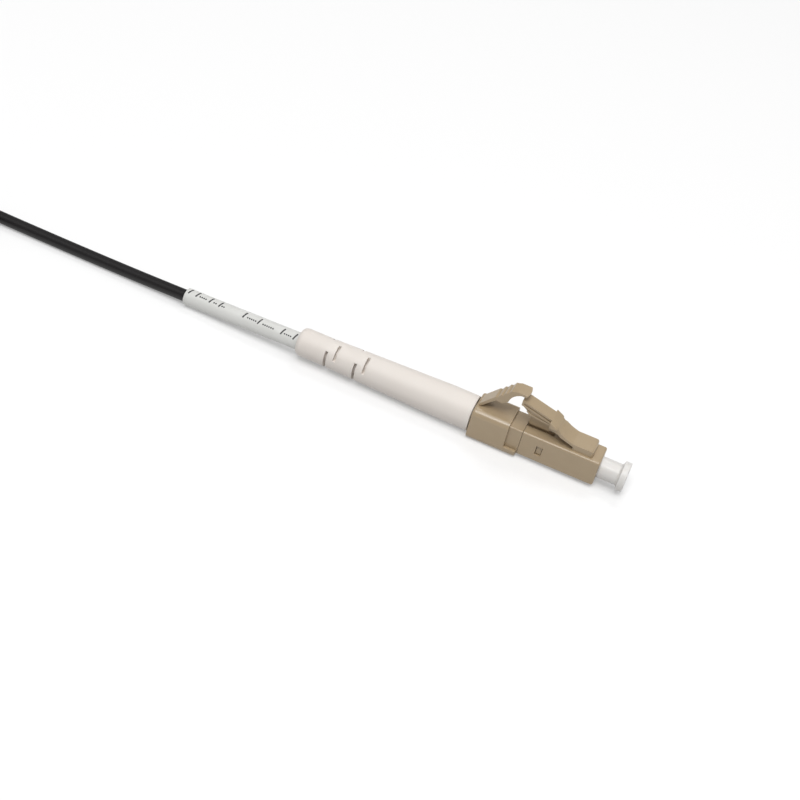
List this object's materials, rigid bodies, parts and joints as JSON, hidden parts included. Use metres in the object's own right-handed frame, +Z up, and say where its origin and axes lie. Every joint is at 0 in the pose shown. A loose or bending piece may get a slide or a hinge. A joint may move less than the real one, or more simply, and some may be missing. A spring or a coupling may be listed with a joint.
{
  "type": "fibre breakout cable",
  "caption": "Leg of a fibre breakout cable: square latching fibre plug with dust cap, trigger clip, slotted bend boot and sleeve on a thin round cable wound in a hank.",
  "frame": {"origin": "centre of the plug's nose face, on the optical axis", "axes": "+X out of the nose along the optical axis, +Z up, away from the face the plug lies on"},
  "size_m": [0.1594, 0.019, 0.011],
  "materials": {
    "beige_plug_plastic": "moulded, fine satin",
    "zirconia": "polished ceramic",
    "nickel_steel": "turned and plated",
    "guide_plastic": "extruded, slippery",
    "spring_steel": "drawn wire",
    "cap_plastic": "moulded, milky",
    "fibre_glass": "drawn glass",
    "buffer_plastic": "extruded",
    "yarn": "loose filaments",
    "crimp_brass": "plated, crimped",
    "boot_plastic": "soft moulded",
    "jacket_plastic": "extruded, satin",
    "sleeve_plastic": "heat-shrunk film",
    "strap_fabric": "woven hook and loop"
  },
  "bodies": {
    "plug": {"front_housing": "beige_plug_plastic", "rear_body": "beige_plug_plastic", "trigger_clip": "beige_plug_plastic", "spring": "spring_steel", "tight_buffer": "buffer_plastic", "aramid_yarn": "yarn", "crimp_sleeve": "crimp_brass", "boot": "boot_plastic", "cable": "jacket_plastic", "label_sleeve": "sleeve_plastic", "cable_hank": "jacket_plastic", "hank_tie": "strap_fabric"},
    "latch": {"latch_lever": "beige_plug_plastic"},
    "trigger": {"trigger_lever": "beige_plug_plastic"},
    "ferrule_set": {"ferrule": "zirconia", "ferrule_flange": "nickel_steel", "guide_tube": "guide_plastic", "bare_fibre": "fibre_glass"},
    "cap": {"dust_cap": "cap_plastic"}
  },
  "joints": [
    {"name": "trigger_press", "type": "hinge", "parent": "plug", "child": "trigger", "pos_m": [-0.02009, 0, 0.003], "axis": [0, 1, 0], "range_deg": [0, 11], "stiffness_Nm_per_rad": 0.05},
    {"name": "latch_press", "type": "hinge", "parent": "plug", "child": "latch", "pos_m": [-0.00475, 0, 0.00312], "axis": [0, 1, 0], "range_deg": [-6, 0], "stiffness_Nm_per_rad": 0.0005},
    {"name": "ferrule_float", "type": "slide", "parent": "plug", "child": "ferrule_set", "axis": [-1, 0, 0], "range_m": [0, 0.001], "stiffness_N_per_m": 1000, "deforming": ["spring"]},
    {"name": "dust_cap_pull", "type": "slide", "parent": "ferrule_set", "child": "cap", "axis": [1, 0, 0], "range_m": [0, 0.0045]}
  ],
  "couplings": [
    {"joint": "latch_press", "follows": "trigger_press", "ratio": -0.5}
  ]
}
